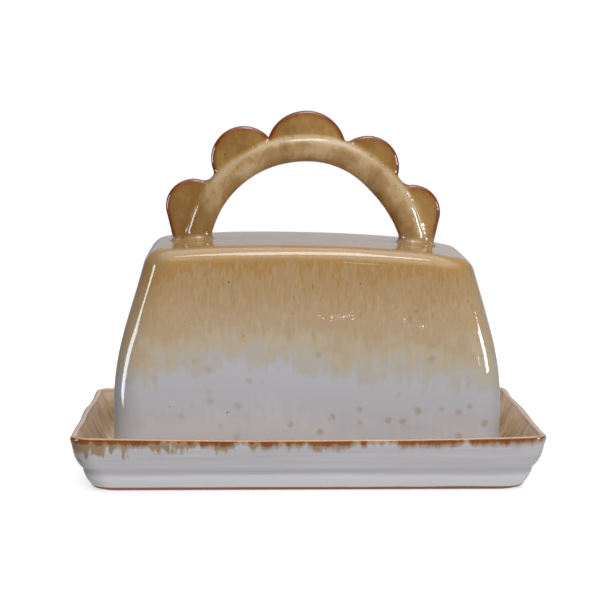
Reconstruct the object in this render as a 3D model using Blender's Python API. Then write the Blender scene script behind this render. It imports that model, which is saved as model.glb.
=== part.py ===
"""Two-piece stoneware butter dish.

A shallow flared tray stands on its flat base. A box-shaped lid with an open bottom stands inside the
tray, on its floor, and lifts straight up. A half-round arch with five scalloped petals along its outer
edge is the lid's handle. Length runs along X, depth along Y, and the base's centre is the origin.
"""

import math

import bmesh
import bpy

# Driving dimensions, in metres
GAP = 0.0003

TRAY_LENGTH = 0.1900
TRAY_DEPTH = 0.1356
TRAY_RIM_HEIGHT = 0.0215
TRAY_CORNER_LIFT = 0.0012
TRAY_CORNER_RADIUS = 0.0085
TRAY_INNER_CORNER_RADIUS = 0.0050
TRAY_FLOOR_CORNER_RADIUS = 0.0090
TRAY_BASE_CORNER_RADIUS = 0.0090
TRAY_FLARE_ENDS = 0.0096
TRAY_FLARE_SIDES = 0.0082
TRAY_FLARE_CURVE = 1.15
TRAY_WALL = 0.0034
TRAY_FLOOR_HEIGHT = 0.0065
TRAY_INNER_FLARE = 0.0100
TRAY_BASE_EDGE = 0.0012

LID_LENGTH = 0.1574
LID_DEPTH = 0.1000
LID_CORNER_RADIUS = 0.0125
LID_WALL = 0.0050
LID_EDGE_ROUND = 0.0018
LID_STRAIGHT_HEIGHT = 0.0292
LID_FLANK_RADIUS = 0.1300
LID_FLANK_SLOPE = 0.28
LID_SIDE_TAPER = 0.75
LID_SHOULDER_RADIUS = 0.0085
LID_SHOULDER_HEIGHT = 0.0934
LID_CROWN = 0.0028
LID_CROWN_HALF_LENGTH = 0.0600
LID_LEAN = 0.022
LID_DRIFT = 0.0010

ARCH_CENTRE_HEIGHT = 0.0876
ARCH_RADIUS = 0.0464
BAR_RADIUS = 0.0057
FOOT_HALF_WIDTH = 0.0088
FOOT_HALF_DEPTH = 0.0080
FOOT_FLARE_ANGLE = math.radians(2)
FOOT_ANGLE = math.radians(82)
FOOT_NECK_SHARE = 0.2

PETAL_THICKNESS = 0.0044
PETAL_EDGE_ROUND = 0.0014
# Each petal is cut from a disc: its angle from the vertical in degrees, and the distance of the disc's
# centre from the arch's centre and the disc's radius in metres, from left to right.
PETALS = (
    (-64.9, 0.0520, 0.0119),
    (-33.1, 0.0488, 0.0140),
    (0.6, 0.0453, 0.0168),
    (34.6, 0.0470, 0.0137),
    (66.6, 0.0496, 0.0120),
)

CORNER_STEPS = 5
SIDE_STEPS = 6
TRAY_WALL_STEPS = 6
TRAY_RIM_STEPS = 6
BAR_SIDES = 20
BAR_STATIONS = 36
PETAL_STEPS = 12


def clear_scene():
    for item in list(bpy.data.objects):
        bpy.data.objects.remove(item, do_unlink=True)


def make_material(name, colour, roughness):
    material = bpy.data.materials.new(name)
    material.use_nodes = True
    shader = material.node_tree.nodes["Principled BSDF"]
    shader.inputs["Base Color"].default_value = (*colour, 1.0)
    shader.inputs["Roughness"].default_value = roughness
    shader.inputs["Metallic"].default_value = 0.0
    return material


def make_object(name, rings, material, smooth_angle=35.0):
    """Build one closed body from rings of points: neighbouring rings are joined, both ends are filled."""
    mesh_data = bmesh.new()
    loops = [[mesh_data.verts.new(point) for point in ring] for ring in rings]
    for lower, upper in zip(loops, loops[1:]):
        if len(upper) == 1:
            join_to_point(mesh_data, lower, upper[0])
        elif len(lower) == 1:
            join_to_point(mesh_data, upper, lower[0])
        else:
            join_rings(mesh_data, lower, upper)
    for end in (loops[0], loops[-1]):
        if len(end) > 1:
            mesh_data.faces.new(end)
    bmesh.ops.recalc_face_normals(mesh_data, faces=mesh_data.faces)
    mesh = bpy.data.meshes.new(name)
    mesh_data.to_mesh(mesh)
    mesh_data.free()
    mesh.shade_smooth()
    mesh.set_sharp_from_angle(angle=math.radians(smooth_angle))
    mesh.materials.append(material)
    result = bpy.data.objects.new(name, mesh)
    bpy.context.scene.collection.objects.link(result)
    return result


def join_rings(mesh_data, lower, upper):
    count = len(lower)
    for index in range(count):
        following = (index + 1) % count
        mesh_data.faces.new((lower[index], lower[following], upper[following], upper[index]))


def join_to_point(mesh_data, ring, point):
    count = len(ring)
    for index in range(count):
        mesh_data.faces.new((ring[index], ring[(index + 1) % count], point))


def outline(half_x, half_y, radius):
    """Points around a rectangle with rounded corners, with extra points along its straight sides."""
    corners = []
    for quarter, (sign_x, sign_y) in enumerate(((1, 1), (-1, 1), (-1, -1), (1, -1))):
        arc = []
        for step in range(CORNER_STEPS + 1):
            angle = (quarter + step / CORNER_STEPS) * math.pi / 2
            x = sign_x * (half_x - radius) + radius * math.cos(angle)
            y = sign_y * (half_y - radius) + radius * math.sin(angle)
            arc.append((x, y))
        corners.append(arc)
    points = []
    for index, arc in enumerate(corners):
        points.extend(arc)
        start = arc[-1]
        end = corners[(index + 1) % 4][0]
        for step in range(1, SIDE_STEPS):
            part = step / SIDE_STEPS
            x = start[0] + (end[0] - start[0]) * part
            y = start[1] + (end[1] - start[1]) * part
            points.append((x, y))
    return points


def smooth_step(value):
    value = min(max(value, 0.0), 1.0)
    return value * value * (3.0 - 2.0 * value)


def tray_ring(inset_x, inset_y, radius, height, lifted):
    """One level of the tray; its rim levels rise a little towards the four corners."""
    half_x = TRAY_LENGTH / 2 - inset_x
    half_y = TRAY_DEPTH / 2 - inset_y
    ring = []
    for x, y in outline(half_x, half_y, radius):
        towards_corner = (x / half_x) ** 2 * (y / half_y) ** 2
        ring.append((x, y, height + lifted * TRAY_CORNER_LIFT * towards_corner))
    return ring


def tray_flare(height, wall_top):
    """How much of the wall's flare is still to come at a height: all of it at the base, none at the rim."""
    return (1.0 - height / wall_top) ** TRAY_FLARE_CURVE


def build_tray(material):
    rim_round = TRAY_WALL / 2
    wall_top = TRAY_RIM_HEIGHT - rim_round
    rings = []
    # Flat base, then its small eased edge
    for inset, height in ((TRAY_BASE_EDGE, 0.0), (0.0, TRAY_BASE_EDGE)):
        flare = tray_flare(height, wall_top)
        inset_x = TRAY_FLARE_ENDS * flare + inset
        inset_y = TRAY_FLARE_SIDES * flare + inset
        rings.append(tray_ring(inset_x, inset_y, TRAY_BASE_CORNER_RADIUS, height, 0.0))
    # Outer wall, curving up to an upright rim
    for step in range(1, TRAY_WALL_STEPS + 1):
        height = TRAY_BASE_EDGE + (wall_top - TRAY_BASE_EDGE) * step / TRAY_WALL_STEPS
        rise = height / wall_top
        flare = tray_flare(height, wall_top)
        radius = TRAY_BASE_CORNER_RADIUS + (TRAY_CORNER_RADIUS - TRAY_BASE_CORNER_RADIUS) * rise
        inset_x = TRAY_FLARE_ENDS * flare
        inset_y = TRAY_FLARE_SIDES * flare
        rings.append(tray_ring(inset_x, inset_y, radius, height, smooth_step(rise)))
    # Half-round rim
    for step in range(1, TRAY_RIM_STEPS + 1):
        angle = math.pi * step / TRAY_RIM_STEPS
        across = rim_round * (1.0 - math.cos(angle))
        height = wall_top + rim_round * math.sin(angle)
        radius = max(TRAY_CORNER_RADIUS - across, TRAY_INNER_CORNER_RADIUS)
        rings.append(tray_ring(across, across, radius, height, 1.0))
    # Inner wall down to the floor
    for step in range(1, TRAY_WALL_STEPS + 1):
        drop = step / TRAY_WALL_STEPS
        height = wall_top + (TRAY_FLOOR_HEIGHT - wall_top) * drop
        across = TRAY_WALL + TRAY_INNER_FLARE * drop ** TRAY_FLARE_CURVE
        radius = TRAY_INNER_CORNER_RADIUS + (TRAY_FLOOR_CORNER_RADIUS - TRAY_INNER_CORNER_RADIUS) * drop
        rings.append(tray_ring(across, across, radius, height, smooth_step(1.0 - drop)))
    rings.append([(0.0, 0.0, TRAY_FLOOR_HEIGHT)])
    return make_object("tray", rings, material)


def flank_inset(height):
    """How far the lid's end wall has leaned in at a height: upright, then a wide arc, then straight."""
    turn = math.atan(LID_FLANK_SLOPE)
    rise = height - LID_STRAIGHT_HEIGHT
    arc_rise = LID_FLANK_RADIUS * math.sin(turn)
    if rise <= 0.0:
        return 0.0
    if rise <= arc_rise:
        return LID_FLANK_RADIUS - math.sqrt(LID_FLANK_RADIUS ** 2 - rise ** 2)
    return LID_FLANK_RADIUS * (1.0 - math.cos(turn)) + LID_FLANK_SLOPE * (rise - arc_rise)


def settled(x, y, height):
    """A point of the lid after drying and firing: its top is crowned along X and leans a little to +X."""
    top_part = smooth_step((height - LID_STRAIGHT_HEIGHT) / (LID_SHOULDER_HEIGHT - LID_STRAIGHT_HEIGHT))
    crown = LID_CROWN * max(0.0, 1.0 - (x / LID_CROWN_HALF_LENGTH) ** 2)
    return (x + LID_DRIFT * top_part, y, height + (crown - LID_LEAN * x) * top_part)


def lid_ring(height, wall_inset, shoulder_inset):
    half_x = LID_LENGTH / 2 - flank_inset(height) - wall_inset - shoulder_inset
    half_y = LID_DEPTH / 2 - LID_SIDE_TAPER * flank_inset(height) - wall_inset - shoulder_inset
    radius = max(LID_CORNER_RADIUS - wall_inset - shoulder_inset, 0.0025)
    return [settled(x, y, height) for x, y in outline(half_x, half_y, radius)]


def lid_skin(bottom, top, shoulder_radius, wall_inset):
    """Rings of one side of the lid's shell, from its bottom edge to the middle of its top."""
    turn = math.atan(LID_FLANK_SLOPE)
    shoulder_start = top - shoulder_radius * (1.0 - math.sin(turn))
    wall_steps = 9
    shoulder_steps = 6
    rings = []
    for step in range(wall_steps + 1):
        height = bottom + (shoulder_start - bottom) * step / wall_steps
        rings.append(lid_ring(height, wall_inset, 0.0))
    # Above the shoulder's start the walls stop leaning, so the shoulder's own inset takes over
    start_x = LID_LENGTH / 2 - flank_inset(shoulder_start) - wall_inset
    start_y = LID_DEPTH / 2 - LID_SIDE_TAPER * flank_inset(shoulder_start) - wall_inset
    start_radius = max(LID_CORNER_RADIUS - wall_inset, 0.0025)
    for step in range(1, shoulder_steps + 1):
        angle = turn + (math.pi / 2 - turn) * step / shoulder_steps
        across = shoulder_radius * (math.cos(turn) - math.cos(angle))
        height = shoulder_start + shoulder_radius * (math.sin(angle) - math.sin(turn))
        radius = max(start_radius - across, 0.0025)
        edge = outline(start_x - across, start_y - across, radius)
        rings.append([settled(x, y, height) for x, y in edge])
    for part in (0.84, 0.62, 0.36):
        rings.append([settled(x * part, y * part, top) for x, y in edge])
    rings.append([settled(0.0, 0.0, top)])
    return rings


def build_lid_cover(material):
    bottom = TRAY_FLOOR_HEIGHT + GAP
    outer = lid_skin(bottom + LID_EDGE_ROUND, LID_SHOULDER_HEIGHT, LID_SHOULDER_RADIUS, 0.0)
    inner_top = LID_SHOULDER_HEIGHT - LID_WALL
    inner_shoulder = LID_SHOULDER_RADIUS - LID_WALL / 2
    inner = lid_skin(bottom + LID_EDGE_ROUND, inner_top, inner_shoulder, LID_WALL)
    # Bottom edge: flat in the middle, eased towards both skins
    edge_outer = lid_ring(bottom, LID_EDGE_ROUND * 0.7, 0.0)
    edge_inner = lid_ring(bottom, LID_WALL - LID_EDGE_ROUND * 0.7, 0.0)
    rings = inner[::-1] + [edge_inner, edge_outer] + outer
    return make_object("lid_cover", rings, material)


def arch_point(angle, distance, across):
    """A point at an angle from the vertical about the arch's centre; a negative angle is to -X."""
    x = distance * math.sin(angle)
    z = ARCH_CENTRE_HEIGHT + distance * math.cos(angle)
    return (x, across, z)


def foot_flare(angle):
    """0 along the bar, rising to 1 where the bar meets the lid."""
    start = FOOT_ANGLE - FOOT_FLARE_ANGLE
    return max(0.0, (abs(angle) - start) / FOOT_FLARE_ANGLE) ** 1.5


def foot_ring(side):
    """The handle's footprint, just clear of the lid's top."""
    centre = side * (ARCH_RADIUS + 0.0004)
    ring = []
    for index in range(BAR_SIDES):
        turn = 2 * math.pi * index / BAR_SIDES
        x = centre + side * FOOT_HALF_WIDTH * math.cos(turn)
        y = FOOT_HALF_DEPTH * math.sin(turn)
        lid_x, lid_y, lid_top = settled(x - LID_DRIFT, y, LID_SHOULDER_HEIGHT)
        ring.append((lid_x, lid_y, lid_top + GAP))
    return ring


def build_handle_arch(material):
    rings = [foot_ring(-1)]
    for station in range(BAR_STATIONS + 1):
        angle = FOOT_ANGLE * (2 * station / BAR_STATIONS - 1)
        flare = foot_flare(angle)
        half_width = BAR_RADIUS + (FOOT_HALF_WIDTH - BAR_RADIUS) * flare * FOOT_NECK_SHARE
        half_depth = BAR_RADIUS + (FOOT_HALF_DEPTH - BAR_RADIUS) * flare * FOOT_NECK_SHARE
        ring = []
        for index in range(BAR_SIDES):
            turn = 2 * math.pi * index / BAR_SIDES
            distance = ARCH_RADIUS + half_width * math.cos(turn)
            ring.append(arch_point(angle, distance, half_depth * math.sin(turn)))
        rings.append(ring)
    rings.append(foot_ring(1))
    return make_object("handle_arch", rings, material)


def petal_ring(middle, centre_distance, petal_radius, across):
    """A petal's outline: its own arc outside, and the bar's arc, a gap away, inside."""
    seat = ARCH_RADIUS + BAR_RADIUS + GAP
    reach = (seat ** 2 + centre_distance ** 2 - petal_radius ** 2) / (2 * seat * centre_distance)
    seat_angle = math.acos(reach)
    corner_x = seat * math.sin(seat_angle)
    corner_z = seat * math.cos(seat_angle) - centre_distance
    corner_turn = math.atan2(corner_x, corner_z)
    ring = []
    for step in range(PETAL_STEPS + 1):
        turn = corner_turn * (2 * step / PETAL_STEPS - 1)
        x = petal_radius * math.sin(turn)
        z = centre_distance + petal_radius * math.cos(turn)
        ring.append(arch_point(middle + math.atan2(x, z), math.hypot(x, z), across))
    for step in range(PETAL_STEPS - 1, 0, -1):
        turn = seat_angle * (2 * step / PETAL_STEPS - 1)
        ring.append(arch_point(middle + turn, seat, across))
    return ring


def build_petal(name, middle, centre_distance, petal_radius, material):
    half_thickness = PETAL_THICKNESS / 2
    rings = []
    for share in (-1.0, -0.8, -0.4, 0.0, 0.4, 0.8, 1.0):
        eased = PETAL_EDGE_ROUND * (1.0 - math.sqrt(1.0 - share ** 2 * 0.98))
        rings.append(petal_ring(middle, centre_distance, petal_radius - eased, share * half_thickness))
    return make_object(name, rings, material)


def main():
    clear_scene()
    tray_glaze = make_material("tray_glaze", (0.62, 0.60, 0.60), 0.12)
    lid_glaze = make_material("lid_glaze", (0.62, 0.50, 0.36), 0.10)
    handle_glaze = make_material("handle_glaze", (0.58, 0.45, 0.28), 0.12)
    petal_glaze = make_material("petal_glaze", (0.42, 0.26, 0.10), 0.14)

    build_tray(tray_glaze)

    lift_axis = bpy.data.objects.new("lid_lift_axis", None)
    lift_axis.location = (0.0, 0.0, TRAY_FLOOR_HEIGHT + GAP)
    bpy.context.scene.collection.objects.link(lift_axis)
    bpy.context.view_layer.update()

    lid_pieces = [build_lid_cover(lid_glaze), build_handle_arch(handle_glaze)]
    for number, (angle, distance, radius) in enumerate(PETALS, start=1):
        name = f"handle_petal_{number}"
        lid_pieces.append(build_petal(name, math.radians(angle), distance, radius, petal_glaze))
    for piece in lid_pieces:
        piece.parent = lift_axis
        piece.matrix_parent_inverse = lift_axis.matrix_world.inverted()


main()
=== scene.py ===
"""Looks of the two-piece stoneware butter dish: glazed surfaces, studio light and camera.

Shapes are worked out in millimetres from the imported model's boxes, and written to meshes in metres.
Every piece of fired clay is one closed mesh that stands for one CAD node.
"""

import math

import bpy
import numpy as np
from mathutils import Matrix, Vector


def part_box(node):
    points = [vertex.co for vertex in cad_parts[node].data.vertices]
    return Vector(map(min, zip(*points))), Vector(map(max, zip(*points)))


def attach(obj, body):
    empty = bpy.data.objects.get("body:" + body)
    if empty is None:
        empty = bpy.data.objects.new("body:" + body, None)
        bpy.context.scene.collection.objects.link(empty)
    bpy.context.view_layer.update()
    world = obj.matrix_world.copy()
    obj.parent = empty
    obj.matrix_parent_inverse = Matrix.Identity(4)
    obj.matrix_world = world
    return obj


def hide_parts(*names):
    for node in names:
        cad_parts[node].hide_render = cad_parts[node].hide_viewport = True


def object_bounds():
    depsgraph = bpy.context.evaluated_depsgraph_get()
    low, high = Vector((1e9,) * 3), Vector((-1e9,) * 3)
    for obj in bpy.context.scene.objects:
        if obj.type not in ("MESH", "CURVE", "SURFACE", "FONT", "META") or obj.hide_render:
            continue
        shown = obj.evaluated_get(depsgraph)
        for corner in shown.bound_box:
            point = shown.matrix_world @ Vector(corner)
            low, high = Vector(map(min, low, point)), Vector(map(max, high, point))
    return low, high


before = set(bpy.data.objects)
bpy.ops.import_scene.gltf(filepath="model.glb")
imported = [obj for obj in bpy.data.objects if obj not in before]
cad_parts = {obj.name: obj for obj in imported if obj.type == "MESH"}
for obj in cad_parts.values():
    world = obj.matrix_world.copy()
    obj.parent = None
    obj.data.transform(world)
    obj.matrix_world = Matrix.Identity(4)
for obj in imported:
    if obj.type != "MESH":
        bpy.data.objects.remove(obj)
cad_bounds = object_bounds()

MM = 0.001


def box_mm(node):
    low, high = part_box(node)
    return np.array(low) / MM, np.array(high) / MM


MODEL_LOW, MODEL_HIGH = (np.array(corner) / MM for corner in cad_bounds)


# ---------------------------------------------------------------------------------------------------
# Sizes, in millimetres
# ---------------------------------------------------------------------------------------------------

TRAY_LOW, TRAY_HIGH = box_mm("tray")
TRAY_MARGIN = 0.1
TRAY_HALF_X = (TRAY_HIGH[0] - TRAY_LOW[0]) / 2 - TRAY_MARGIN
TRAY_HALF_Y = (TRAY_HIGH[1] - TRAY_LOW[1]) / 2 - TRAY_MARGIN
TRAY_CORNER_LIFT = 1.2
TRAY_RIM_HEIGHT = TRAY_HIGH[2] - TRAY_CORNER_LIFT + 0.15
TRAY_CORNER_RADIUS = 8.5
TRAY_BASE_CORNER_RADIUS = 9.0
TRAY_FLOOR_CORNER_RADIUS = 9.0
TRAY_BASE_EDGE = 1.4
TRAY_BASE_EDGE_HEIGHT = 1.6
TRAY_ROLL = 0.45
TRAY_ROLL_HEIGHT = 4.6
TRAY_GROOVE = 0.35
TRAY_GROOVE_HEIGHT = 8.4
TRAY_END_BELLY = 1.1
TRAY_END_BELLY_HEIGHT = 12.5
TRAY_FLARE_ENDS = 8.8
TRAY_FLARE_SIDES = 8.0
TRAY_FLARE_CURVE = 1.15
TRAY_RIM_WIDTH = 2.5
TRAY_FLOOR_HEIGHT = 6.5
TRAY_INNER_FLARE = 10.8
TRAY_INNER_CURVE = 1.15
TRAY_BACK_TAPER = 1.5
TRAY_LEFT_WAVE = 0.15
TRAY_LEFT_WAVE_LENGTH = 42.0

LID_LOW, LID_HIGH = box_mm("lid_cover")
LID_HALF_X = (LID_HIGH[0] - LID_LOW[0]) / 2
LID_HALF_Y = (LID_HIGH[1] - LID_LOW[1]) / 2
LID_BOTTOM = LID_LOW[2]
LID_CROWN = 2.8
LID_CROWN_HALF_LENGTH = 60.0
LID_SHOULDER_HEIGHT = LID_HIGH[2] - LID_CROWN
LID_STRAIGHT_HEIGHT = 29.2
LID_FLANK_RADIUS = 130.0
LID_FLANK_SLOPE = 0.28
LID_SIDE_TAPER = 0.75
LID_CORNER_RADIUS = 12.5
LID_SHOULDER_RADIUS = 8.5
LID_WALL = 5.0
LID_LIP_ROUND = 1.8
LID_LEAN = 0.022
LID_DRIFT = 1.0
LID_SAG_FRONT = 1.6
LID_SAG_BACK = 0.5
LID_SAG_RIGHT = 1.3
LID_SAG_RIGHT_PLACE = 60.0

ARCH_RADIUS = 46.4
BAR_RADIUS = 5.7
ARCH_CENTRE_HEIGHT = box_mm("handle_arch")[1][2] - ARCH_RADIUS - BAR_RADIUS
ARCH_NECK_ANGLE = 69.0
BAR_THICKENING = 1.3
BAR_THICKENING_ANGLE = 50.0
FOOT_FILLET = 4.0

PETAL_HALF_THICKNESS = 1.9
PETAL_PILLOW = 0.5
PETAL_EDGE_ROUND = 2.2
PETAL_CREASE = 3.4
PETAL_TOE = 1.4
# Angle from the vertical in degrees, distance of the disc's centre from the arch's centre, disc
# radius, and the radii of the fillets at its left and right ends. The outer end of the first and of
# the last petal runs down to the lid instead, at that distance from the middle of the dish.
PETALS = (
    (-65.0, 51.8, 11.6, 55.4, 4.4),
    (-31.5, 49.2, 13.7, 2.4, 2.2),
    (0.6, 45.3, 16.8, 2.0, 2.2),
    (34.6, 46.4, 13.3, 2.8, 2.0),
    (67.0, 49.2, 11.7, 4.4, 54.0),
)

CORNER_POINTS = 20
LONG_SIDE_POINTS = 84
SHORT_SIDE_POINTS = 52

# The studio, in metres and degrees, with light levels relative to white
FLOOR_RADIUS = 0.65
CEILING_LIGHT = 2.6
WALL_BEHIND = 0.55
LEFT_SHADE = 0.25
CAMERA_LENS = 125.5
CAMERA_PLACE = (-0.0204, -0.8798, 0.1652)
CAMERA_PITCH = -6.19
CAMERA_HEADING = -1.19


# ---------------------------------------------------------------------------------------------------
# Mesh making
# ---------------------------------------------------------------------------------------------------

def smooth_step(value):
    value = np.clip(value, 0.0, 1.0)
    return value * value * (3.0 - 2.0 * value)


def bell(value, centre, width):
    """Bell curve that is 1 at its centre."""
    return np.exp(-((value - centre) / width) ** 2)


def undulation(points, wavelength, seed):
    """Repeatable unevenness of about -1 to 1 at each point, as a sum of a few slanted waves."""
    chance = np.random.default_rng(seed)
    total = np.zeros(len(points))
    waves = 7
    for _ in range(waves):
        direction = chance.normal(size=3)
        direction /= np.linalg.norm(direction)
        wave_number = 2 * math.pi / (wavelength * chance.uniform(0.7, 1.5))
        total += np.sin(points @ direction * wave_number + chance.uniform(0, 2 * math.pi))
    return total / math.sqrt(waves)


def outline(half_x, half_y, radius):
    """Points round a rectangle with rounded corners; every call gives the same number of points."""
    turns = np.linspace(0, math.pi / 2, CORNER_POINTS + 1)
    signs = ((1, 1), (-1, 1), (-1, -1), (1, -1))
    arcs = []
    for quarter, (sign_x, sign_y) in enumerate(signs):
        angle = turns + quarter * math.pi / 2
        x = sign_x * (half_x - radius) + radius * np.cos(angle)
        y = sign_y * (half_y - radius) + radius * np.sin(angle)
        arcs.append(np.stack([x, y], 1))
    parts = []
    for quarter, arc in enumerate(arcs):
        following = arcs[(quarter + 1) % 4][0]
        count = LONG_SIDE_POINTS if quarter % 2 == 0 else SHORT_SIDE_POINTS
        share = np.linspace(0, 1, count + 1)[1:-1, None]
        parts.append(arc)
        parts.append(arc[-1] + (following - arc[-1]) * share)
    return np.concatenate(parts)


def lofted(name, rings, marks, uneven):
    """A closed body through rings of points, in millimetres.

    marks maps an attribute's name to one value or array per ring. uneven lists (height, wavelength,
    seed) of the hand-made unevenness that is pushed along the surface's normals; it dies out at the
    table, so that the base stands flat, and never leaves the model's box.
    """
    count = len(rings[0])
    points = np.concatenate(rings)
    steps = len(rings) - 1
    index = np.arange(count)
    following = (index + 1) % count
    faces = []
    for step in range(steps):
        here = step * count
        beyond = here + count
        quads = np.stack([here + index, here + following, beyond + following, beyond + index], 1)
        faces.extend(quads.tolist())
    first, last = len(points), len(points) + 1
    points = np.concatenate([points, [rings[0].mean(0)], [rings[-1].mean(0)]])
    faces.extend(np.stack([following, index, np.full(count, first)], 1).tolist())
    top = steps * count
    faces.extend(np.stack([top + index, top + following, np.full(count, last)], 1).tolist())
    mesh = bpy.data.meshes.new(name)
    mesh.from_pydata(points.tolist(), [], faces)
    mesh.update()
    normals = np.zeros(len(points) * 3)
    mesh.vertex_normals.foreach_get("vector", normals)
    normals = normals.reshape(-1, 3)
    middle = points.mean(0)
    if signed_volume(points - middle, mesh) < 0:
        mesh.flip_normals()
        normals = -normals
    settled_share = smooth_step(points[:, 2] / 5.0)
    for height, wavelength, seed in uneven:
        push = height * settled_share * undulation(points, wavelength, seed)
        points = points + normals * push[:, None]
    points = np.clip(points, MODEL_LOW, MODEL_HIGH)
    mesh.vertices.foreach_set("co", (points * MM).ravel())
    mesh.shade_smooth()
    for mark, values in marks.items():
        spread = [np.broadcast_to(value, count) for value in values]
        flat = np.concatenate(spread + [[spread[0].mean()], [spread[-1].mean()]])
        attribute = mesh.attributes.new(mark, "FLOAT", "POINT")
        attribute.data.foreach_set("value", flat.astype(np.float32))
    mesh.update()
    piece = bpy.data.objects.new(name, mesh)
    bpy.context.scene.collection.objects.link(piece)
    return piece


def signed_volume(points, mesh):
    mesh.calc_loop_triangles()
    corners = np.zeros(len(mesh.loop_triangles) * 3, np.int64)
    mesh.loop_triangles.foreach_get("vertices", corners)
    a, b, c = points[corners.reshape(-1, 3)].transpose(1, 0, 2)
    return np.einsum("ij,ij->", a, np.cross(b, c)) / 6


# ---------------------------------------------------------------------------------------------------
# Tray
# ---------------------------------------------------------------------------------------------------

def tray_ring(inset_x, inset_y, radius, height, rise):
    edge = outline(TRAY_HALF_X - inset_x, TRAY_HALF_Y - inset_y, radius)
    x, y = edge.T
    along_x = x / TRAY_HALF_X
    along_y = y / TRAY_HALF_Y
    # The ends are pulled in a little towards the back, and the left end is softly waved
    pulled = TRAY_BACK_TAPER * smooth_step((y - 12.0) / 34.0)
    wave = TRAY_LEFT_WAVE * (1 - np.cos((y - 5.0) * 2 * math.pi / TRAY_LEFT_WAVE_LENGTH))
    wave = wave * smooth_step(-along_x * 8 - 6.5)
    x = x * (1 - rise * pulled / TRAY_HALF_X) + rise * wave
    z = height + rise * TRAY_CORNER_LIFT * along_x ** 2 * np.abs(along_y) ** 2
    return np.stack([x, y, z], 1)


def tray_profile():
    """(inset at the ends, inset at the sides, corner radius, height, rise) from the base to the floor."""
    rim_round = TRAY_RIM_WIDTH / 2
    wall_top = TRAY_RIM_HEIGHT - rim_round
    rows = []
    # Underside
    for part in (0.25, 0.5, 0.75, 0.92, 1.0):
        inset_x = TRAY_HALF_X - (TRAY_HALF_X - TRAY_FLARE_ENDS - TRAY_BASE_EDGE) * part
        inset_y = TRAY_HALF_Y - (TRAY_HALF_Y - TRAY_FLARE_SIDES - TRAY_BASE_EDGE) * part
        rows.append((inset_x, inset_y, TRAY_BASE_CORNER_RADIUS * part, 0.0, 0.0))
    # Outer wall: the eased base edge, a low rounded roll, a shallow groove, then a leaning wall that
    # curves up to the rim
    for height in np.linspace(0.0, wall_top, 44)[1:]:
        rise = height / wall_top
        flare = (1 - rise) ** TRAY_FLARE_CURVE
        below_edge = max(0.0, 1 - height / TRAY_BASE_EDGE_HEIGHT)
        eased = TRAY_BASE_EDGE * (1 - math.sqrt(1 - below_edge ** 2))
        roll = TRAY_ROLL * bell(height, TRAY_ROLL_HEIGHT, 2.2)
        groove = TRAY_GROOVE * bell(height, TRAY_GROOVE_HEIGHT, 0.9)
        extra = eased - roll + groove
        belly = TRAY_END_BELLY * bell(height, TRAY_END_BELLY_HEIGHT, 4.5)
        radius = TRAY_BASE_CORNER_RADIUS + (TRAY_CORNER_RADIUS - TRAY_BASE_CORNER_RADIUS) * rise
        rows.append((
            TRAY_FLARE_ENDS * flare + extra - belly,
            TRAY_FLARE_SIDES * flare + extra,
            radius,
            height,
            smooth_step(rise),
        ))
    # Rim: a narrow rounded crest
    for angle in np.linspace(0, math.pi, 17)[1:]:
        across = rim_round * (1 - math.cos(angle))
        height = wall_top + (TRAY_RIM_HEIGHT - wall_top) * math.sin(angle)
        rows.append((across, across, TRAY_CORNER_RADIUS - across, height, 1.0))
    # Inner wall, then a soft turn into the floor
    inner_radius = TRAY_CORNER_RADIUS - TRAY_RIM_WIDTH
    for drop in np.linspace(0, 1, 27)[1:]:
        sunk = math.sin(drop * math.pi / 2) ** TRAY_INNER_CURVE
        height = wall_top + (TRAY_FLOOR_HEIGHT - wall_top) * sunk
        across = TRAY_RIM_WIDTH + TRAY_INNER_FLARE * drop ** TRAY_INNER_CURVE
        radius = inner_radius + (TRAY_FLOOR_CORNER_RADIUS - inner_radius) * drop
        rows.append((across, across, radius, height, smooth_step(1 - drop)))
    across = TRAY_RIM_WIDTH + TRAY_INNER_FLARE
    for part in (0.97, 0.9, 0.8, 0.68, 0.54, 0.4, 0.25, 0.1):
        inset_x = TRAY_HALF_X - (TRAY_HALF_X - across) * part
        inset_y = TRAY_HALF_Y - (TRAY_HALF_Y - across) * part
        rows.append((inset_x, inset_y, TRAY_FLOOR_CORNER_RADIUS * part, TRAY_FLOOR_HEIGHT, 0.0))
    return rows


def build_tray():
    rows = tray_profile()
    rings = [tray_ring(*row) for row in rows]
    flat = np.array([(row[1], row[3]) for row in rows])
    along = np.concatenate([[0], np.cumsum(np.linalg.norm(np.diff(flat, axis=0), axis=1))])
    crest = along[int(np.argmax(flat[:, 1]))]
    uneven = ((0.10, 46.0, 3), (0.04, 15.0, 4))
    return lofted("tray_glazed", rings, {"from_rim": along - crest}, uneven)


# ---------------------------------------------------------------------------------------------------
# Lid
# ---------------------------------------------------------------------------------------------------

def flank_inset(height):
    """How far the end wall has leaned in at a height: upright, then a wide arc, then straight."""
    turn = math.atan(LID_FLANK_SLOPE)
    rise = height - LID_STRAIGHT_HEIGHT
    arc_rise = LID_FLANK_RADIUS * math.sin(turn)
    if rise <= 0:
        return 0.0
    if rise <= arc_rise:
        return LID_FLANK_RADIUS - math.sqrt(LID_FLANK_RADIUS ** 2 - rise ** 2)
    return LID_FLANK_RADIUS * (1 - math.cos(turn)) + LID_FLANK_SLOPE * (rise - arc_rise)


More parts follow.
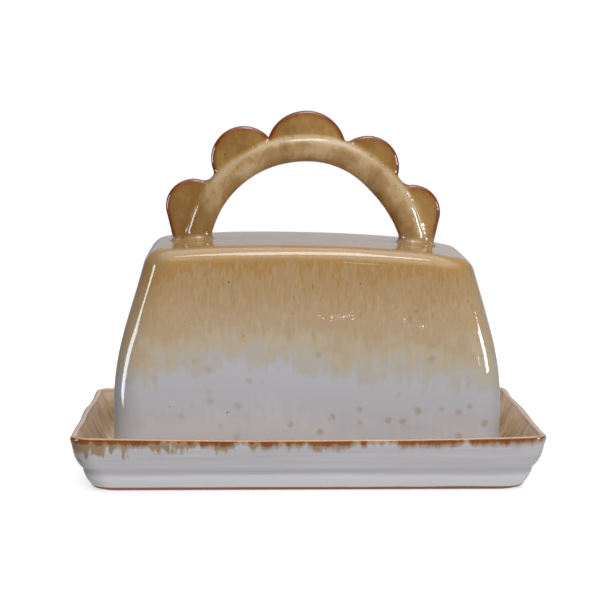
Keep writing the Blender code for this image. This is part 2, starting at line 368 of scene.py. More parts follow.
def settled(x, y, height):
    """Points of the lid once fired: its top is crowned along X and leans a little to +X."""
    share = (height - LID_STRAIGHT_HEIGHT) / (LID_SHOULDER_HEIGHT - LID_STRAIGHT_HEIGHT)
    top_part = smooth_step(share)
    fall = 1 - (x / LID_CROWN_HALF_LENGTH) ** 2
    crown = LID_CROWN * 0.5 * (fall + np.sqrt(fall ** 2 + 0.02))
    # The front edge sags a little, the back edge less, and the right end most
    sag = np.where(y < 0, LID_SAG_FRONT, LID_SAG_BACK) * (y / LID_HALF_Y) ** 2
    sag = sag + LID_SAG_RIGHT * bell(x, LID_SAG_RIGHT_PLACE, 6.5)
    height = height + (crown - sag - LID_LEAN * x) * top_part
    return np.stack([x + LID_DRIFT * top_part, y, np.broadcast_to(height, x.shape)], 1)


def lid_top(x, y):
    """Height of the lid's top surface at points of its plan."""
    return settled(x - LID_DRIFT, y, LID_SHOULDER_HEIGHT)[:, 2]


def lid_skin(bottom, top, shoulder_radius, wall_inset, wall_steps, shoulder_steps):
    """Rings of the lid's outer or inner skin, from its bottom up its walls to the middle of its top."""
    turn = math.atan(LID_FLANK_SLOPE)
    shoulder_start = top - shoulder_radius * (1 - math.sin(turn))
    rings = []
    for height in np.linspace(bottom, shoulder_start, wall_steps):
        half_x = LID_HALF_X - flank_inset(height) - wall_inset
        half_y = LID_HALF_Y - LID_SIDE_TAPER * flank_inset(height) - wall_inset
        radius = max(LID_CORNER_RADIUS - wall_inset, 3.0)
        rings.append(settled(*outline(half_x, half_y, radius).T, height))
    for angle in np.linspace(turn, math.pi / 2, shoulder_steps)[1:]:
        across = shoulder_radius * (math.cos(turn) - math.cos(angle))
        height = shoulder_start + shoulder_radius * (math.sin(angle) - math.sin(turn))
        edge = outline(half_x - across, half_y - across, max(radius - across, 3.0))
        rings.append(settled(*edge.T, height))
    for part in (0.97, 0.93, 0.88, 0.82, 0.75, 0.67, 0.58, 0.48, 0.37, 0.25, 0.13):
        rings.append(settled(*(edge * part).T, top))
    return rings


def build_lid_cover():
    start = LID_BOTTOM + LID_LIP_ROUND
    outer = lid_skin(start, LID_SHOULDER_HEIGHT, LID_SHOULDER_RADIUS, 0.0, 70, 20)
    inner_top = LID_SHOULDER_HEIGHT - LID_WALL
    inner = lid_skin(start, inner_top, LID_SHOULDER_RADIUS - LID_WALL / 2, LID_WALL, 40, 12)
    lip = []
    for angle in np.linspace(0, math.pi, 13)[1:-1]:
        across = LID_WALL / 2 * (1 + math.cos(angle))
        height = start - LID_LIP_ROUND * math.sin(angle) ** 0.6
        edge = outline(LID_HALF_X - across, LID_HALF_Y - across, LID_CORNER_RADIUS - across)
        lip.append(settled(*edge.T, height))
    inside = [1.0] * len(inner) + list(np.linspace(1, 0, len(lip))) + [0.0] * len(outer)
    rings = inner[::-1] + lip + outer
    uneven = ((0.10, 52.0, 11), (0.02, 17.0, 12))
    return lofted("lid_cover_glazed", rings, {"inside": inside}, uneven)


# ---------------------------------------------------------------------------------------------------
# Handle
# ---------------------------------------------------------------------------------------------------

def bar_thickening(angle):
    """Extra clay on the inside of the bar's right shoulder, in millimetres."""
    return BAR_THICKENING * bell(np.degrees(angle), BAR_THICKENING_ANGLE, 20)


def bar_surface(angle, turns):
    """Points of the bar's skin: angle along the arch, turns round the section from its outside."""
    inward = bar_thickening(angle) * np.clip(-np.cos(turns), 0, 1) ** 0.7
    distance = ARCH_RADIUS + BAR_RADIUS * np.cos(turns) - inward
    x = distance * np.sin(angle)
    z = ARCH_CENTRE_HEIGHT + distance * np.cos(angle)
    return np.stack([x, BAR_RADIUS * np.sin(turns), z], 1)


def fillet_spread(height, radius):
    """How far a quarter-round fillet stands out at a height above the face that it meets."""
    left = np.clip(radius - height, 0, radius)
    return radius - np.sqrt(radius ** 2 - left ** 2)


def foot_ring(side, turns, height):
    """The bar's skin at one height above the lid's top, spread by the foot's fillet."""
    angle = np.full(len(turns), side * math.radians(80))
    for _ in range(8):
        x, y, z = bar_surface(angle, turns).T
        distance = np.hypot(x, z - ARCH_CENTRE_HEIGHT)
        cosine = (lid_top(x, y) + height - ARCH_CENTRE_HEIGHT) / distance
        angle = side * np.arccos(np.clip(cosine, -1, 1))
    x, y, _ = bar_surface(angle, turns).T
    spread = fillet_spread(height, FOOT_FILLET - 0.8 * np.abs(np.cos(turns)))
    x = x + side * spread * np.cos(turns)
    y = y + spread * np.sin(turns)
    return np.stack([x, y, lid_top(x, y) + height], 1)


def build_handle_arch():
    turns = np.linspace(0, 2 * math.pi, 65)[:-1]
    neck = math.radians(ARCH_NECK_ANGLE)
    heights = FOOT_FILLET * (1 - np.sin(np.linspace(0, math.pi / 2, 15)))
    left, right = [], []
    for side, foot in ((-1, left), (1, right)):
        foot.extend(foot_ring(side, turns, height) for height in heights)
        # The last ring is drawn in and down, inside the lid's top
        foot.append(foot[-1] * (0.8, 0.8, 1.0) + (0.2 * side * ARCH_RADIUS, 0.0, -2.0))
    angles = np.linspace(-neck, neck, 150)
    arch = [bar_surface(np.full(len(turns), angle), turns) for angle in angles]
    rings = left[::-1] + arch + right
    uneven = ((0.09, 21.0, 21),)
    marks = {"from_edge": [9.0] * len(rings)}
    return lofted("handle_arch_glazed", rings, marks, uneven)


def unit(angle):
    """Direction in the arch's plane at an angle from the vertical."""
    return np.array([math.sin(angle), math.cos(angle)])


def petal_fillet(centre, radius, middle, end, fillet):
    """Fillet at one end of a petal: its centre, where it lands on the bar, and the point inside the
    bar that closes the outline. end is -1 for the left end and 1 for the right."""
    arch_centre = np.array([0.0, ARCH_CENTRE_HEIGHT])
    bar_edge = ARCH_RADIUS + BAR_RADIUS
    centre_distance = np.linalg.norm(centre - arch_centre)
    reach = bar_edge + fillet
    cosine = reach ** 2 + centre_distance ** 2 - (radius + fillet) ** 2
    cosine /= 2 * reach * centre_distance
    outward = unit(middle + end * math.acos(cosine))
    hub = arch_centre + outward * reach
    return hub, arch_centre + outward * bar_edge, arch_centre + outward * ARCH_RADIUS


def petal_end(centre, radius, middle, end, size):
    """One end of a petal: where the disc's arc stops, the outline from there to its landing, and the
    point inside the bar. The outer end of the first and the last petal runs straight down to the lid,
    to size millimetres from the middle of the dish; the others have a fillet of that radius."""
    if end * centre[0] > 0.8 * ARCH_RADIUS:
        top = float(lid_top(np.array([end * size]), np.array([0.0]))[0])
        landing = np.array([end * size, top - 0.1])
        offset = landing - centre
        turn = math.atan2(offset[1], offset[0])
        turn += end * math.acos(radius / np.linalg.norm(offset))
        leave = centre + radius * np.array([math.cos(turn), math.sin(turn)])
        run = leave + (landing - leave) * np.linspace(0, 1, 16)[:, None]
        run[:, 0] += end * fillet_spread(run[:, 1] - top, PETAL_TOE)
        return leave, run, np.array([end * ARCH_RADIUS, top - 2.0])
    hub, landing, inner = petal_fillet(centre, radius, middle, end, size)
    leave = centre + (hub - centre) * radius / np.linalg.norm(hub - centre)
    return leave, arc_between(hub, leave, landing, 16), inner


def arc_between(hub, first, last, count):
    """Points on the shorter arc about hub from first to last."""
    radius = np.linalg.norm(first - hub)
    start = math.atan2(*(first - hub)[::-1])
    sweep = math.atan2(*(last - hub)[::-1]) - start
    sweep = (sweep + math.pi) % (2 * math.pi) - math.pi
    angles = start + sweep * np.linspace(0, 1, count)
    return hub + radius * np.stack([np.cos(angles), np.sin(angles)], 1)


def petal_outline(centre, radius, middle, ends):
    """The petal's edge from its left landing over the disc to its right landing, and the line inside
    the bar that closes it."""
    left_leave, left_run, left_inner = petal_end(centre, radius, middle, -1, ends[0])
    right_leave, right_run, right_inner = petal_end(centre, radius, middle, 1, ends[1])
    tip = centre + unit(middle) * radius
    edge = np.concatenate([
        left_run[::-1][:-1],
        arc_between(centre, left_leave, tip, 48)[:-1],
        arc_between(centre, tip, right_leave, 48)[:-1],
        right_run,
    ])
    share = np.concatenate([[0], np.cumsum(np.linalg.norm(np.diff(edge, axis=0), axis=1))])
    share = (share / share[-1])[:, None]
    inner = left_inner + (right_inner - left_inner) * share
    offset = inner - (0.0, ARCH_CENTRE_HEIGHT)
    distance = np.linalg.norm(offset, axis=1)[:, None]
    on_arch = (0.0, ARCH_CENTRE_HEIGHT) + offset * ARCH_RADIUS / distance
    return edge, np.where(inner[:, 1:] < LID_SHOULDER_HEIGHT + 3.5, inner, on_arch)


def petal_half_thickness(points, centre, radius):
    """Half the petal's thickness at points of its plane: a low pillow, filleted into the bar's skin,
    which it follows just inside, and spread where it meets the lid."""
    x, z = points.T
    from_arch = np.hypot(x, z - ARCH_CENTRE_HEIGHT)
    from_centre = np.linalg.norm(points - centre, axis=1)
    face = PETAL_HALF_THICKNESS + PETAL_PILLOW * np.clip(1 - (from_centre / radius) ** 2, 0, 1)
    crease_centre = ARCH_RADIUS + math.sqrt(
        (BAR_RADIUS + PETAL_CREASE) ** 2 - (PETAL_HALF_THICKNESS + PETAL_CREASE) ** 2
    )
    touch_share = BAR_RADIUS / (BAR_RADIUS + PETAL_CREASE)
    touch = ARCH_RADIUS + (crease_centre - ARCH_RADIUS) * touch_share
    into_crease = np.clip(crease_centre - from_arch, 0, crease_centre - touch)
    rise = PETAL_CREASE - np.sqrt(PETAL_CREASE ** 2 - into_crease ** 2)
    bar = np.sqrt(np.clip(BAR_RADIUS ** 2 - (from_arch - ARCH_RADIUS) ** 2, 0, None)) - 0.2
    half = np.where(from_arch < touch, np.maximum(bar, 1.0), face + rise)
    return half + fillet_spread(np.clip(z - lid_top(x, 0 * x), 0, None), PETAL_TOE)


def build_petal(number, angle_degrees, centre_distance, radius, *ends):
    middle = math.radians(angle_degrees)
    centre = np.array([0.0, ARCH_CENTRE_HEIGHT]) + unit(middle) * centre_distance
    edge, inner = petal_outline(centre, radius, middle, ends)
    shares = np.linspace(0, 1, 26) ** 1.7
    sheets, depths = [], []
    for share in shares:
        plan = edge + (inner - edge) * share
        depth = np.linalg.norm(plan[:, None] - edge[None], axis=2).min(1)
        roundness = np.sqrt(1 - (1 - np.clip(depth / PETAL_EDGE_ROUND, 0, 1)) ** 2)
        half = petal_half_thickness(plan, centre, radius) * roundness
        sheets.append(np.stack([plan[:, 0], half, plan[:, 1]], 1))
        depths.append(depth)
    sheets = np.array(sheets)
    depths = np.array(depths)
    front = sheets * (1.0, -1.0, 1.0)
    sections = np.concatenate([front[::-1], sheets[1:]])
    marks = np.concatenate([depths[::-1], depths[1:]])
    rings = list(sections.transpose(1, 0, 2))
    name = f"handle_petal_{number}_glazed"
    uneven = ((0.07, 15.0, 30 + number),)
    return lofted(name, rings, {"from_edge": list(marks.T)}, uneven)


# ---------------------------------------------------------------------------------------------------
# Glazes
# ---------------------------------------------------------------------------------------------------

def tone(red, green, blue):
    """Linear colour from 8-bit display values."""
    parts = []
    for value in (red, green, blue):
        share = value / 255
        parts.append(share / 12.92 if share <= 0.04045 else ((share + 0.055) / 1.055) ** 2.4)
    return (*parts, 1.0)


class Nodes:
    """Short calls for the nodes that the glazes and the surroundings share."""

    def __init__(self, tree):
        self.tree = tree

    def feed(self, socket, value):
        if isinstance(value, bpy.types.NodeSocket):
            self.tree.links.new(value, socket)
        else:
            socket.default_value = value

    def split(self, vector):
        node = self.tree.nodes.new("ShaderNodeSeparateXYZ")
        self.tree.links.new(vector, node.inputs[0])
        return node.outputs

    def math(self, operation, first, second=0.0):
        node = self.tree.nodes.new("ShaderNodeMath")
        node.operation = operation
        self.feed(node.inputs[0], first)
        self.feed(node.inputs[1], second)
        return node.outputs[0]

    def sum(self, *values):
        total = values[0]
        for value in values[1:]:
            total = self.math("ADD", total, value)
        return total

    def band(self, value, low, high, start=0.0, end=1.0, interpolation="SMOOTHSTEP"):
        """Change from start to end as value goes from low to high."""
        node = self.tree.nodes.new("ShaderNodeMapRange")
        node.interpolation_type = interpolation
        self.feed(node.inputs["Value"], value)
        node.inputs["From Min"].default_value = low
        node.inputs["From Max"].default_value = high
        node.inputs["To Min"].default_value = start
        node.inputs["To Max"].default_value = end
        return node.outputs["Result"]

    def ramp(self, value, low, high, stops, interpolation="EASE"):
        """Colour stops placed by their value between low and high."""
        share = self.math("DIVIDE", self.math("SUBTRACT", value, low), high - low)
        node = self.tree.nodes.new("ShaderNodeValToRGB")
        ramp = node.color_ramp
        ramp.interpolation = interpolation
        for number, (place, colour) in enumerate(stops):
            where = (place - low) / (high - low)
            stop = ramp.elements[number] if number < 2 else ramp.elements.new(where)
            stop.position = where
            stop.color = colour
        self.feed(node.inputs[0], share)
        return node.outputs[0]


class Graph(Nodes):
    """A material's node tree, whose places are in millimetres."""

    def __init__(self, name):
        self.material = bpy.data.materials.new(name)
        self.material.use_nodes = True
        super().__init__(self.material.node_tree)
        self.tree.nodes.clear()
        self.shader = self.tree.nodes.new("ShaderNodeBsdfPrincipled")
        output = self.tree.nodes.new("ShaderNodeOutputMaterial")
        self.tree.links.new(self.shader.outputs["BSDF"], output.inputs["Surface"])
        place = self.tree.nodes.new("ShaderNodeTexCoord")
        self.place = self.vector("SCALE", place.outputs["Object"], scale=1 / MM)
        self.x, self.y, self.z = self.split(self.place)

    def vector(self, operation, first, second=None, scale=None):
        node = self.tree.nodes.new("ShaderNodeVectorMath")
        node.operation = operation
        self.feed(node.inputs[0], first)
        if second is not None:
            self.feed(node.inputs[1], second)
        if scale is not None:
            node.inputs["Scale"].default_value = scale
        return node.outputs["Vector"]

    def noise(self, frequency, detail=2.0, roughness=0.5, offset=0.0):
        """Noise around 0.5; frequency is in cycles per millimetre, one number or one for each axis."""
        if not isinstance(frequency, tuple):
            frequency = (frequency,) * 3
        scaled = self.vector("MULTIPLY", self.place, frequency)
        moved = self.vector("ADD", scaled, (offset, offset * 0.7, offset * 1.3))
        node = self.tree.nodes.new("ShaderNodeTexNoise")
        node.inputs["Scale"].default_value = 1.0
        node.inputs["Detail"].default_value = detail
        node.inputs["Roughness"].default_value = roughness
        self.tree.links.new(moved, node.inputs["Vector"])
        return node.outputs["Fac"]

    def blobs(self, frequency, size, offset=0.0):
        """Soft round spots, one in each cell and most of them too small to show; size is in cells."""
        wander = self.vector("ADD", self.vector("SCALE", self.place, scale=frequency), (offset,) * 3)
        node = self.tree.nodes.new("ShaderNodeTexVoronoi")
        node.inputs["Scale"].default_value = 1.0
        self.tree.links.new(wander, node.inputs["Vector"])
        split = self.tree.nodes.new("ShaderNodeSeparateColor")
        self.tree.links.new(node.outputs["Color"], split.inputs[0])
        reach = self.math("MULTIPLY", self.band(split.outputs[0], 0.15, 1.0), size)
        ragged = self.sum(node.outputs["Distance"], self.swing(self.noise(frequency * 4.0), size * 0.6))
        return self.band(self.math("SUBTRACT", ragged, reach), -0.6 * size, 0.15 * size, 1.0, 0.0)

    def swing(self, value, amount):
        """A noise turned into a swing of plus or minus about half of amount."""
        return self.math("MULTIPLY", self.math("SUBTRACT", value, 0.5), amount)

    def mix(self, share, first, second):
        node = self.tree.nodes.new("ShaderNodeMix")
        node.data_type = "RGBA"
        self.feed(node.inputs[0], share)
        self.feed(node.inputs[6], first)
        self.feed(node.inputs[7], second)
        return node.outputs[2]

    def mark(self, name):
        node = self.tree.nodes.new("ShaderNodeAttribute")
        node.attribute_name = name
        return node.outputs["Fac"]

    def upward(self):
        """How far the surface faces up: 1 for level, 0 for upright."""
        node = self.tree.nodes.new("ShaderNodeNewGeometry")
        return self.split(node.outputs["Normal"])["Z"]

    def shade(self, colour, factor):
        """A colour made darker or lighter by a factor."""
        return self.vector("MULTIPLY", colour, factor)

    def finish(self, colour, roughness, relief):
        """Gloss glaze; relief is a height in millimetres."""
        self.feed(self.shader.inputs["Base Color"], colour)
        self.feed(self.shader.inputs["Roughness"], roughness)
        self.shader.inputs["IOR"].default_value = 1.52
        bump = self.tree.nodes.new("ShaderNodeBump")
        bump.inputs["Strength"].default_value = 1.0
        bump.inputs["Distance"].default_value = MM
        self.feed(bump.inputs["Height"], relief)
        self.tree.links.new(bump.outputs["Normal"], self.shader.inputs["Normal"])
        return self.material


LILAC_WHITE = tone(177, 175, 178)
WARM_WHITE = tone(174, 167, 157)
PALE_BEIGE = tone(178, 162, 138)
BEIGE_GLAZE = tone(172, 148, 115)
TAN_GLAZE = tone(166, 136, 96)
HONEY_GLAZE = tone(164, 126, 72)
AMBER_GLAZE = tone(160, 130, 90)
RUST_GLAZE = tone(134, 72, 14)
DARK_RUST = tone(104, 48, 4)
CREAM_GLAZE = tone(182, 154, 114)
DARK_CLAY = tone(122, 72, 50)
PALE_CLAY = tone(158, 106, 80)


def running_glaze(graph):
    """The lid's glaze: honey at the top, running in streaks through beige into a mottled white."""
    streak = graph.noise((0.48, 0.48, 0.060), detail=3.0, roughness=0.6)
    fleck = graph.noise((0.75, 0.75, 0.17), detail=2.0, offset=7.0)
    broad = graph.noise((0.022, 0.022, 0.020), detail=2.0, offset=3.0)
    cloud = graph.noise((0.10, 0.10, 0.12), detail=3.0, roughness=0.6, offset=13.0)
    high = graph.band(graph.z, 52.0, 76.0)
    low = graph.math("SUBTRACT", 1.0, high)
    streakiness = graph.sum(graph.math("MULTIPLY", high, 0.4), 0.6)
    flow = graph.sum(
        graph.z,
        graph.math("MULTIPLY", graph.x, 0.05),
        graph.band(graph.x, -64.0, -40.0, 8.0, 0.0),
        graph.swing(broad, 18.0),
        graph.math("MULTIPLY", graph.swing(streak, 24.0), streakiness),
        graph.math("MULTIPLY", graph.swing(fleck, 24.0), high),
        graph.math("MULTIPLY", graph.swing(cloud, 22.0), low),
    )
    colour = graph.ramp(flow, 10.0, 110.0, (
        (18.0, tone(188, 185, 186)),
        (34.0, LILAC_WHITE),
        (43.0, LILAC_WHITE),
        (49.0, WARM_WHITE),
        (55.0, PALE_BEIGE),
        (66.0, BEIGE_GLAZE),
        (84.0, TAN_GLAZE),
        (89.0, HONEY_GLAZE),
        (98.0, AMBER_GLAZE),
    ))
    # Fine upright threads of paler and darker glaze
    thread = graph.noise((1.7, 1.7, 0.05), detail=2.0, offset=19.0)
    threads = graph.band(thread, 0.30, 0.70, 0.93, 1.07)
    colour = graph.mix(graph.math("MULTIPLY", high, 0.9), colour, graph.shade(colour, threads))
    # Soft tan spots in the white, and small honey drops under the top edge
    rightward = graph.band(graph.x, -70.0, 20.0, 0.4, 1.0)
    spot = graph.math("MULTIPLY", graph.blobs(0.18, 0.38, offset=11.0), rightward)
    spots = graph.math("MULTIPLY", spot, graph.band(graph.z, 50.0, 62.0, 0.60, 0.0))
    colour = graph.mix(spots, colour, tone(158, 138, 112))
    grain = graph.math("MULTIPLY", graph.blobs(0.13, 0.07, offset=31.0), 0.9)
    colour = graph.mix(grain, colour, tone(74, 74, 56))
    drop = graph.noise((0.45, 0.45, 0.22), detail=1.0, offset=17.0)
    drops = graph.math("MULTIPLY", graph.band(drop, 0.68, 0.76), graph.band(graph.z, 60.0, 74.0, 0.0, 0.6))
    colour = graph.mix(drops, colour, tone(150, 108, 54))
    return colour, streak


def glaze_relief(graph):
    """The glaze's own surface, as a height in millimetres: a faint ripple over longer, softer waves."""
    ripple = graph.noise(0.30, detail=2.0, offset=23.0)
    waves = graph.noise(0.07, detail=1.0, offset=29.0)
    return graph.sum(graph.swing(ripple, 0.014), graph.swing(waves, 0.025))


def bare_clay(graph):
    return graph.mix(graph.noise(0.8, detail=3.0, offset=97.0), DARK_CLAY, PALE_CLAY)


def lid_material():
    """The running glaze outside, a plain tan glaze inside, and bare clay along the lip."""
    graph = Graph("lid_running_glaze")
    colour, streak = running_glaze(graph)
    inside = graph.mark("inside")
    inner = graph.mix(graph.noise(0.08, offset=5.0), tone(132, 104, 66), tone(166, 142, 106))
    colour = graph.mix(graph.band(inside, 0.85, 0.99), colour, inner)
    lip = graph.math("MULTIPLY", graph.band(inside, 0.02, 0.2), graph.band(inside, 0.8, 0.98, 1.0, 0.0))
    clay = bare_clay(graph)
    colour = graph.mix(lip, colour, clay)
    gloss = graph.band(streak, 0.3, 0.7, 0.018, 0.035)
    dull_top = graph.band(graph.upward(), 0.90, 0.98, 0.0, 0.13)
    roughness = graph.sum(gloss, dull_top, graph.math("MULTIPLY", lip, 0.6))
    return graph.finish(colour, roughness, glaze_relief(graph))


def handle_material(name):
    """Cream glaze along the bar, amber on the petals, and rust where it thins at an edge."""
    graph = Graph(name)
    from_edge = graph.mark("from_edge")
    rise = graph.math("SUBTRACT", graph.z, ARCH_CENTRE_HEIGHT)
    from_arch = graph.math("SQRT", graph.sum(
        graph.math("MULTIPLY", graph.x, graph.x),
        graph.math("MULTIPLY", rise, rise),
    ))
    clouds = graph.noise((0.075, 0.075, 0.055), detail=3.0, roughness=0.55, offset=41.0)
    fine = graph.noise((0.60, 0.60, 0.40), detail=4.0, roughness=0.7, offset=43.0)
    mottle = graph.sum(clouds, graph.swing(fine, 0.22))
    # The bar is palest along the crease with the petals, partly pooled glaze and partly a painted
    # highlight, and brownest along its middle
    across = graph.band(from_arch, ARCH_RADIUS + 1.0, ARCH_RADIUS + 4.4, 0.0, 0.16)
    bar = graph.ramp(graph.sum(mottle, across), 0.0, 1.0, (
        (0.36, tone(142, 106, 56)),
        (0.50, tone(162, 128, 82)),
        (0.62, CREAM_GLAZE),
        (0.76, tone(190, 166, 130)),
    ))
    petal = graph.ramp(graph.sum(mottle, graph.swing(fine, 0.2)), 0.0, 1.0, (
        (0.34, tone(138, 100, 44)),
        (0.52, tone(154, 116, 58)),
        (0.70, tone(170, 134, 78)),
    ))
    wandering = graph.sum(from_arch, graph.swing(fine, 1.6))
    onto_petal = graph.band(wandering, ARCH_RADIUS + 3.8, ARCH_RADIUS + 6.4)
    colour = graph.mix(onto_petal, bar, petal)
    ragged = graph.sum(from_edge, graph.swing(graph.noise(0.40, detail=2.0, offset=59.0), 1.6))
    rim = graph.band(from_arch, ARCH_RADIUS + 4.6, ARCH_RADIUS + 7.0)
    orange = graph.math("MULTIPLY", graph.band(ragged, 1.2, 3.6, 0.85, 0.0), rim)
    colour = graph.mix(orange, colour, tone(144, 86, 34))
    dark = graph.math("MULTIPLY", graph.band(ragged, 0.5, 1.9, 0.9, 0.0), rim)
    colour = graph.mix(dark, colour, DARK_RUST)
    specks = graph.band(graph.noise(0.7, detail=1.0, offset=47.0), 0.745, 0.79, 0.0, 0.8)
    colour = graph.mix(specks, colour, tone(76, 42, 22))
    # The lid's own glaze climbs a little way up the feet
    running, streak = running_glaze(graph)
    above = graph.band(graph.sum(graph.z, graph.swing(streak, 3.0)), 94.5, 98.5)
    colour = graph.mix(above, running, colour)
    roughness = graph.band(mottle, 0.3, 0.7, 0.05, 0.10)
    return graph.finish(colour, roughness, glaze_relief(graph))


def tray_outside(graph, below, brushed):
    """White glaze brushed along the wall, over a low roll painted paler as bounce light from the table,
    with painted shade along the groove above it, and rust and tan drips at the rim.
    """
    colour = graph.ramp(brushed, 0.0, 1.0, (
        (0.28, tone(176, 172, 174)),
        (0.48, tone(187, 183, 186)),
        (0.70, tone(195, 193, 195)),
    ))
    low = graph.sum(graph.z, graph.swing(graph.noise(0.03, offset=67.0), 1.2))
    # Painted bounce light: the low roll is painted paler, standing in for light thrown up onto it from the
    # table
    colour = graph.mix(graph.band(low, 5.4, 7.6, 0.8, 0.0), colour, tone(214, 214, 214))
    # Painted shade: a darker line painted along the shallow groove above the roll
    groove = graph.math("MULTIPLY", graph.band(low, 6.8, 8.0), graph.band(low, 8.0, 10.0, 0.45, 0.0))
    colour = graph.mix(groove, colour, tone(158, 154, 157))
    # Rust where the glaze breaks over the rim, in long dashes with a tan edge that runs down in places
    # and all along the front left corner
    dash = graph.noise((0.075, 0.075, 0.0), detail=2.0, roughness=0.6, offset=79.0)
    ragged = graph.noise((0.45, 0.45, 0.12), detail=3.0, roughness=0.6, offset=81.0)
    reach = graph.sum(graph.band(dash, 0.40, 0.52, 1.0, 3.2), graph.swing(ragged, 4.4))
    past = graph.math("SUBTRACT", below, reach)
    drip = graph.noise((0.20, 0.20, 0.0), detail=2.0, roughness=0.6, offset=71.0)
    leftward = graph.band(graph.x, -95.0, 20.0, 1.6, 0.3)
    left_end = graph.band(graph.x, -92.0, -74.0, 3.2, 0.0)
    corner = graph.math("MULTIPLY", left_end, graph.band(graph.y, -62.0, -48.0, 1.0, 0.0))
    run = graph.math("MULTIPLY", graph.band(drip, 0.45, 0.68, 0.0, 3.4), leftward)
    run = graph.sum(run, corner)
    edge = graph.band(graph.math("SUBTRACT", past, run), -0.4, 2.4, 0.9, 0.0)
    colour = graph.mix(edge, colour, tone(150, 118, 76))
    colour = graph.mix(graph.band(past, -0.7, 0.3, 0.95, 0.0), colour, RUST_GLAZE)
    colour = graph.mix(graph.band(past, -1.9, -0.7, 0.6, 0.0), colour, DARK_RUST)
    # The crest of the rim is pale clay pink, partly its own colour and partly a painted highlight
    return graph.mix(graph.band(below, 0.7, 1.4, 0.95, 0.0), colour, tone(182, 142, 112))


def tray_material():
    """White outside with rust at the rim, tan inside, and bare clay under the base."""
    graph = Graph("tray_white_glaze")
    from_rim = graph.mark("from_rim")
    below = graph.math("MULTIPLY", from_rim, -1.0)
    brushed = graph.noise((0.018, 0.018, 0.75), detail=4.0, roughness=0.65, offset=61.0)
    outside = tray_outside(graph, below, brushed)
    # Inside: warm tan, streaked down the wall and paler towards the rim
    pooled = graph.noise((0.14, 0.14, 0.05), detail=3.0, roughness=0.6, offset=83.0)
    pooled = graph.sum(pooled, graph.band(from_rim, 1.0, 14.0, 0.17, 0.0))
    inside = graph.ramp(pooled, 0.0, 1.0, (
        (0.34, tone(154, 124, 86)),
        (0.50, tone(182, 154, 120)),
        (0.68, tone(204, 178, 154)),
    ))
    colour = graph.mix(graph.band(from_rim, -0.2, 0.9), outside, inside)
    # Bare clay under the base and in a thin line along its edge
    foot = graph.sum(graph.z, graph.swing(graph.noise(0.05, offset=89.0), 0.7))
    bare = graph.band(foot, 1.2, 1.8, 1.0, 0.0)
    clay = bare_clay(graph)
    colour = graph.mix(bare, colour, clay)
    gloss = graph.band(brushed, 0.3, 0.7, 0.07, 0.14)
    roughness = graph.math("ADD", gloss, graph.math("MULTIPLY", bare, 0.6))
    on_wall = graph.band(from_rim, -2.0, 0.0, 1.0, 0.0)
    brush_marks = graph.math("MULTIPLY", graph.swing(brushed, 0.05), on_wall)
    relief = graph.sum(glaze_relief(graph), brush_marks)
    return graph.finish(colour, roughness, relief)


# ---------------------------------------------------------------------------------------------------
# Stage
# ---------------------------------------------------------------------------------------------------

def build_floor():
    """A white table top that fades into the white surroundings."""
    mesh = bpy.data.meshes.new("studio_floor")
    turns = np.linspace(0, 2 * math.pi, 97)[:-1]
    edge = FLOOR_RADIUS * np.stack([np.cos(turns), np.sin(turns), 0 * turns], 1)
    mesh.from_pydata(edge.tolist(), [], [list(range(len(edge)))])
    floor = bpy.data.objects.new("studio_floor", mesh)
    floor.location.z = -0.0001
    bpy.context.scene.collection.objects.link(floor)
    graph = Graph("studio_floor_white")
    graph.shader.inputs["Base Color"].default_value = (0.62, 0.62, 0.62, 1.0)
    graph.shader.inputs["Roughness"].default_value = 0.9
    graph.shader.inputs["Specular IOR Level"].default_value = 0.0
    graph.shader.inputs["Emission Color"].default_value = (1.0, 1.0, 1.0, 1.0)
    graph.shader.inputs["Emission Strength"].default_value = 0.62
    distance = graph.math("SQRT", graph.sum(
        graph.math("MULTIPLY", graph.x, graph.x),
        graph.math("MULTIPLY", graph.y, graph.y),
    ))
    opacity = graph.band(distance, 0.5 * FLOOR_RADIUS / MM, 0.95 * FLOOR_RADIUS / MM, 1.0, 0.0)
    graph.feed(graph.shader.inputs["Alpha"], opacity)
    mesh.materials.append(graph.material)
    floor.visible_diffuse = False
    floor.visible_glossy = False


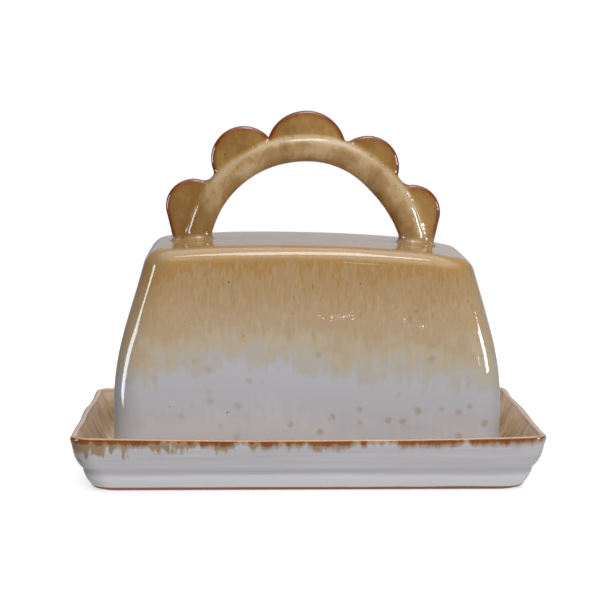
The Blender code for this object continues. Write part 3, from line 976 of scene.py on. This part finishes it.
def build_world():
    """White surroundings to look at, whose light is dim and cool low down and bright overhead."""
    world = bpy.data.worlds.new("studio")
    bpy.context.scene.world = world
    world.use_nodes = True
    tree = world.node_tree
    nodes = Nodes(tree)
    place = tree.nodes.new("ShaderNodeTexCoord")
    x, y, z = nodes.split(place.outputs["Generated"])
    levels = nodes.ramp(z, -1.0, 1.0, (
        (-1.0, (0.80, 0.80, 0.80, 1.0)),
        (-0.35, (0.70, 0.70, 0.70, 1.0)),
        (-0.10, (0.46, 0.46, 0.49, 1.0)),
        (0.10, (0.36, 0.38, 0.43, 1.0)),
        (0.40, (0.30, 0.30, 0.32, 1.0)),
        (0.72, (0.34, 0.34, 0.34, 1.0)),
        (0.86, (1.0, 1.0, 1.0, 1.0)),
        (1.0, (1.0, 1.0, 1.0, 1.0)),
    ), "LINEAR")
    ceiling = nodes.band(z, 0.70, 0.90, 1.0, CEILING_LIGHT, "LINEAR")
    # The left is shaded, and the surroundings behind are brighter from the table's height upwards
    side = nodes.band(x, -1.0, 0.2, LEFT_SHADE, 1.0, "LINEAR")
    behind = nodes.band(y, 0.6, 0.95, 0.0, WALL_BEHIND, "LINEAR")
    above = nodes.band(z, 0.0, 0.05, 0.0, 1.0, "LINEAR")
    wall = nodes.sum(nodes.math("MULTIPLY", behind, above), 1.0)
    strength = nodes.math("MULTIPLY", nodes.math("MULTIPLY", side, ceiling), wall)
    lighting = tree.nodes["Background"]
    tree.links.new(levels, lighting.inputs["Color"])
    tree.links.new(strength, lighting.inputs["Strength"])
    backdrop = tree.nodes.new("ShaderNodeBackground")
    backdrop.inputs["Color"].default_value = (1.0, 1.0, 1.0, 1.0)
    path = tree.nodes.new("ShaderNodeLightPath")
    choice = tree.nodes.new("ShaderNodeMixShader")
    tree.links.new(path.outputs["Is Camera Ray"], choice.inputs[0])
    tree.links.new(lighting.outputs[0], choice.inputs[1])
    tree.links.new(backdrop.outputs[0], choice.inputs[2])
    tree.links.new(choice.outputs[0], tree.nodes["World Output"].inputs["Surface"])


def add_panel(name, place, width, height, radiance, roll, colour, mirrored, lights):
    """A rectangular light whose face has the given radiance, aimed at the middle of the dish and rolled
    by an angle in degrees. It may be kept out of the gloss, or only show in it."""
    light = bpy.data.lights.new(name, "AREA")
    light.color = colour
    light.shape = "RECTANGLE"
    light.size = width
    light.size_y = height
    light.energy = radiance * math.pi * width * height
    panel = bpy.data.objects.new(name, light)
    direction = Vector((0.0, 0.0, 0.06)) - Vector(place)
    aim = direction.to_track_quat("-Z", "Y").to_matrix() @ Matrix.Rotation(math.radians(roll), 3, "Z")
    panel.matrix_world = Matrix.Translation(place) @ aim.to_4x4()
    panel.visible_glossy = mirrored
    panel.visible_diffuse = lights
    bpy.context.scene.collection.objects.link(panel)


def add_fill(name, place, width, height, radiance):
    """A light that shapes the dish but isn't seen in its gloss."""
    add_panel(name, place, width, height, radiance, 0.0, (1, 1, 1), mirrored=False, lights=True)


def add_sheen(name, place, width, height, radiance, roll=0.0, colour=(1, 1, 1)):
    """A light that is only seen in the gloss."""
    add_panel(name, place, width, height, radiance, roll, colour, mirrored=True, lights=False)


def build_lights():
    add_sheen("overhead_panel", (0.05, -0.19, 1.17), 0.44, 0.26, 7.0, roll=25.0)
    add_fill("front_fill", (0.16, -1.30, 0.55), 0.90, 0.60, 6.0)
    add_fill("back_fill", (0.0, 1.30, 0.60), 0.90, 0.60, 3.0)
    add_sheen("left_panel", (-1.12, -0.14, 0.22), 0.28, 0.65, 12.0, roll=-22.0, colour=(0.84, 0.90, 1.0))
    add_sheen("right_panel", (1.08, -0.30, 0.305), 0.24, 0.352, 22.0)
    add_sheen("right_lamp", (0.80, -0.79, 0.23), 0.03, 0.07, 16.0)
    add_sheen("right_dot", (0.894, -0.622, 0.504), 0.02, 0.01, 20.0)
    add_sheen("front_lamp", (0.12, -0.87, 0.68), 0.07, 0.03, 7.0)
    add_sheen("lamp_dash_1", (0.039, -1.10, 0.381), 0.009, 0.001, 30.0)
    add_sheen("lamp_dash_2", (0.068, -1.10, 0.381), 0.015, 0.001, 30.0)
    add_sheen("lamp_dot_1", (0.139, -1.09, 0.378), 0.003, 0.0015, 30.0)
    add_sheen("lamp_dot_2", (0.162, -1.085, 0.379), 0.005, 0.0015, 30.0)


def build_camera():
    low, high = cad_bounds
    data = bpy.data.cameras.new("camera")
    data.sensor_width = 36.0
    data.lens = CAMERA_LENS
    data.clip_start = 0.05
    data.clip_end = 60.0
    camera = bpy.data.objects.new("camera", data)
    camera.location = Vector(CAMERA_PLACE) + Vector(((low.x + high.x) / 2, 0.0, 0.0))
    camera.rotation_euler = (math.radians(90 + CAMERA_PITCH), 0.0, math.radians(CAMERA_HEADING))
    bpy.context.scene.collection.objects.link(camera)
    bpy.context.scene.camera = camera


def main():
    build_camera()
    pieces = (
        (build_tray(), tray_material(), "dish", "tray", "tray_glaze"),
        (build_lid_cover(), lid_material(), "lid", "lid_cover", "lid_glaze"),
        (build_handle_arch(), handle_material("handle_cream_glaze"), "lid", "handle_arch", "handle_glaze"),
    )
    for piece, material, body, node, slot in pieces:
        piece.data.materials.append(material)
        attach(piece, body)
        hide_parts(node)
    amber = handle_material("petal_amber_glaze")
    for number, petal_sizes in enumerate(PETALS, start=1):
        petal = build_petal(number, *petal_sizes)
        petal.data.materials.append(amber)
        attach(petal, "lid")
        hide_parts(f"handle_petal_{number}")
    build_floor()
    build_world()
    build_lights()
    bpy.context.scene.view_settings.view_transform = "Standard"


main()
